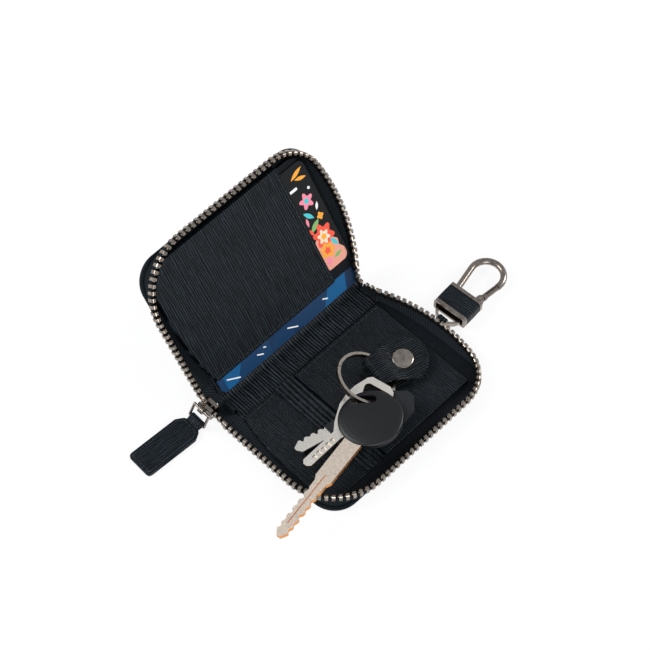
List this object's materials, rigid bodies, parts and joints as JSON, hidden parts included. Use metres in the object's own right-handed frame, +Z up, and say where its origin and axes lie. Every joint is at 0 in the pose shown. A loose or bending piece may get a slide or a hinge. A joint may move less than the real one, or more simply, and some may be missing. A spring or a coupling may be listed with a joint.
{
  "type": "key case",
  "caption": "Zip-around leather key case lying open, with keys on a strap, cards in the raised front half, a zip puller and a sprung hook",
  "frame": {"origin": "centre of the back half's flat outer face, on the table", "axes": "+X from the spine to the back half's outer edge, +Y along the spine towards the hook, +Z up"},
  "size_m": [0.1277, 0.19, 0.0695],
  "materials": {
    "leather": "blue-black coated leather with a fine rib",
    "panel_leather": "charcoal leather with a fine lengthwise rib",
    "lining": "smooth black lining leather",
    "zip_tape": "black woven zip tape",
    "gunmetal": "polished gunmetal plating",
    "nickel": "warm polished nickel plating",
    "key_nickel": "brushed nickel silver",
    "key_brass": "nickel-plated brass with the brass bare on its cut edges",
    "key_plastic": "moulded dark plastic",
    "fob_shell": "satin black moulded shell with worn edges",
    "card_blue": "printed blue card",
    "card_dark": "printed dark card"
  },
  "bodies": {
    "back_half": {"back_cover": "leather", "back_lining": "lining", "back_zip_tape": "zip_tape", "back_zip_teeth": "gunmetal", "slip_pocket": "panel_leather", "coin_pocket_gusset": "panel_leather", "coin_pocket": "panel_leather", "key_strap_base": "leather", "snap_stud": "nickel", "hook_tab": "leather"},
    "strap_flap": {"key_strap_flap": "leather", "snap_cap": "nickel"},
    "key_ring": {"split_ring": "nickel"},
    "fob_key": {"fob_key_head": "fob_shell", "fob_key_blade": "key_brass"},
    "dimple_key": {"dimple_key": "key_nickel"},
    "house_key": {"house_key_head": "key_plastic", "house_key_blade": "key_nickel"},
    "spine_lower": {"spine_lower_cover": "leather", "spine_lower_lining": "lining", "zip_end_tab": "zip_tape", "zip_end_tape": "zip_tape", "zip_stop": "gunmetal", "zip_slider": "gunmetal"},
    "spine_upper": {"spine_upper_cover": "leather", "spine_upper_lining": "lining"},
    "front_half": {"front_cover": "leather", "front_lining": "lining", "front_zip_tape": "zip_tape", "front_zip_teeth": "gunmetal", "card_backing": "lining", "card_divider": "lining", "card_pocket": "panel_leather"},
    "lower_card": {"card_b": "card_blue"},
    "upper_card": {"card_a": "card_dark"},
    "pull_wire": {"pull_wire": "gunmetal"},
    "pull_tab": {"pull_tab": "leather"},
    "link_rings": {"hook_rings": "nickel"},
    "hook": {"hook_sleeve": "nickel", "hook_leather": "leather", "hook_loop": "gunmetal", "gate_pin": "nickel", "gate_spring": "nickel"},
    "hook_gate": {"hook_gate": "gunmetal"}
  },
  "joints": [
    {"name": "spine_fold", "type": "hinge", "parent": "back_half", "child": "spine_lower", "pos_m": [-0.0335, 0, 0.0017], "axis": [0, 1, 0], "range_deg": [0, 90]},
    {"name": "mid_fold", "type": "hinge", "parent": "spine_lower", "child": "spine_upper", "pos_m": [-0.044, 0, 0.0017], "axis": [0, 1, 0], "range_deg": [-53.6, 0]},
    {"name": "cover_fold", "type": "hinge", "parent": "spine_upper", "child": "front_half", "pos_m": [-0.05023, 0, 0.01015], "axis": [0, 1, 0], "range_deg": [0, 90]},
    {"name": "lower_card_slide", "type": "slide", "parent": "front_half", "child": "lower_card", "axis": [-0.5934, 0, 0.8049], "range_m": [0, 0.0162]},
    {"name": "upper_card_slide", "type": "slide", "parent": "front_half", "child": "upper_card", "axis": [0, 1, 0], "range_m": [-0.0035, 0]},
    {"name": "strap_snap", "type": "hinge", "parent": "back_half", "child": "strap_flap", "pos_m": [-0.00231, 0.01389, 0.01075], "axis": [-0.9724, 0.2334, 0], "range_deg": [-95, 0]},
    {"name": "ring_turn", "type": "hinge", "parent": "back_half", "child": "key_ring", "pos_m": [-0.0026, 0.0054, 0.01132], "axis": [0.1864, 0.3507, 0.9178], "range_deg": [-4, 0]},
    {"name": "fob_key_swivel", "type": "hinge", "parent": "key_ring", "child": "fob_key", "pos_m": [0.00604, -0.00403, 0.01313], "axis": [-0.1564, -0.0517, 0.9863], "range_deg": [-3, 3]},
    {"name": "dimple_key_swivel", "type": "hinge", "parent": "key_ring", "child": "dimple_key", "pos_m": [0.00874, -0.00104, 0.01153], "axis": [-0.1564, -0.0517, 0.9863], "range_deg": [0, 3]},
    {"name": "house_key_swivel", "type": "hinge", "parent": "key_ring", "child": "house_key", "pos_m": [0.00992, 0.00244, 0.01003], "axis": [-0.1564, -0.0517, 0.9863], "range_deg": [-3, 3]},
    {"name": "puller_hinge", "type": "hinge", "parent": "spine_lower", "child": "pull_wire", "pos_m": [-0.0446, -0.05548, 0.00742], "axis": [0.9986, -0.0523, 0], "range_deg": [-50, 0]},
    {"name": "tab_hinge", "type": "hinge", "parent": "pull_wire", "child": "pull_tab", "pos_m": [-0.04477, -0.05866, 0.00175], "axis": [0.9986, -0.0523, 0], "range_deg": [-45, 0]},
    {"name": "hook_lift", "type": "hinge", "parent": "back_half", "child": "link_rings", "pos_m": [-0.0028, 0.0554, 0.0026], "axis": [-1, 0, 0], "range_deg": [-70, 0]},
    {"name": "hook_swivel", "type": "hinge", "parent": "link_rings", "child": "hook", "pos_m": [-0.0028, 0.0658, 0.0035], "axis": [0, 0, 1], "range_deg": [-6, 6]},
    {"name": "gate_hinge", "type": "hinge", "parent": "hook", "child": "hook_gate", "pos_m": [0.00256, 0.07577, 0.0035], "axis": [0, 0, -1], "range_deg": [-25, 0], "stiffness_Nm_per_rad": 0.01, "springref_deg": 17.19}
  ],
  "couplings": [
    {"joint": "cover_fold", "follows": "spine_fold", "ratio": 1},
    {"joint": "mid_fold", "follows": "spine_fold", "ratio": -0.59556},
    {"joint": "lower_card_slide", "follows": "spine_fold", "m_per_rad": 0.010313}
  ]
}
